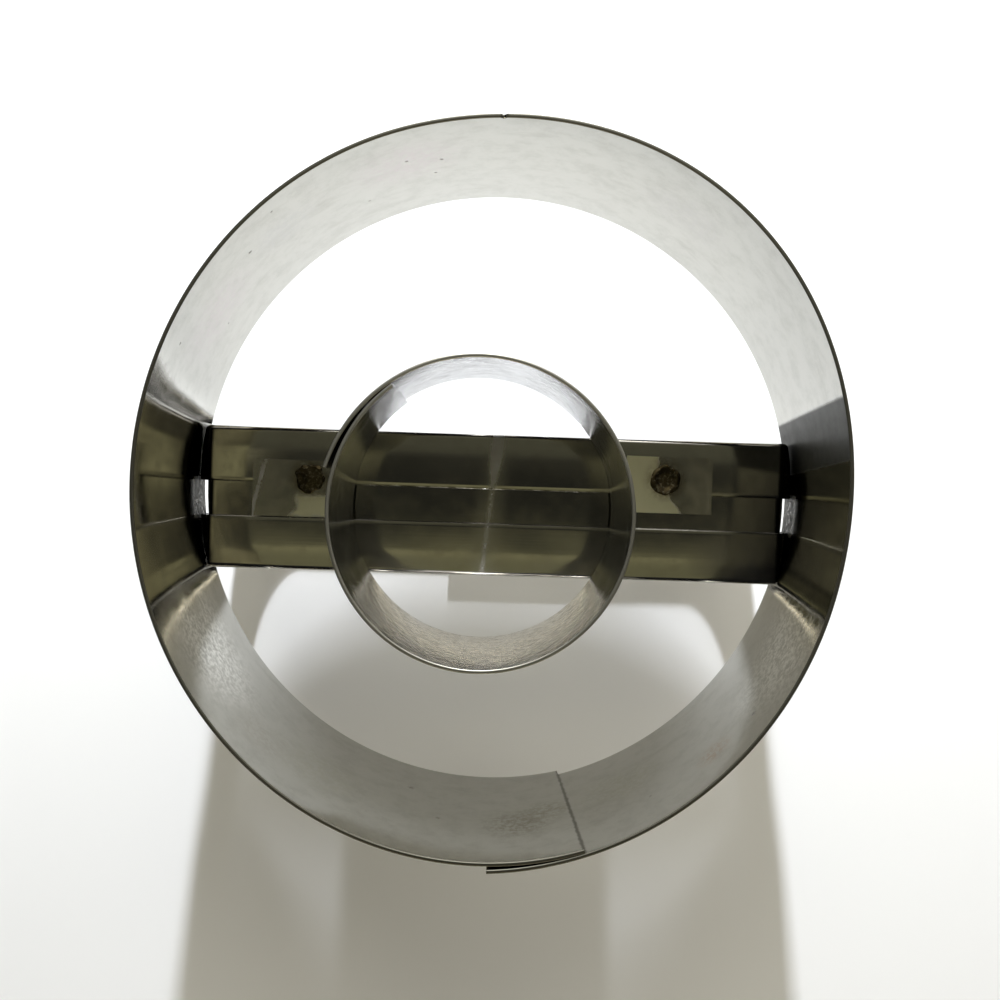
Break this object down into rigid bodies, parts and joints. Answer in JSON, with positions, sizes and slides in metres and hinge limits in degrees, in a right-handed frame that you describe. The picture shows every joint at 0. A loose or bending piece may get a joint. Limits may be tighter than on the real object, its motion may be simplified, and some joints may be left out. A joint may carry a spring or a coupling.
{
  "type": "doughnut cutter",
  "caption": "Hand cutter of sheet steel that stamps a ring of dough: an outer and an inner cutting ring joined by a folded strap that is also the handle.",
  "frame": {"origin": "axis of the outer ring, in the plane that the grip rests on", "axes": "+Z along the ring's axis from the handle to the cutting rims, X along the strap, Y through the handle's finger gap"},
  "size_m": [0.0808, 0.0826, 0.053],
  "materials": {
    "outer_ring_steel": "rolled sheet steel, faint grain, specks and stains",
    "inner_ring_steel": "rolled sheet steel, mottled",
    "strap_steel": "bright sheet steel, brushed along the strap",
    "foot_steel": "sheet steel with straw and brown heat tint at the spot weld"
  },
  "bodies": {
    "root": {"outer_ring": "outer_ring_steel", "inner_ring": "inner_ring_steel", "strap": "strap_steel", "left_foot": "foot_steel", "right_foot": "foot_steel"}
  },
  "joints": []
}
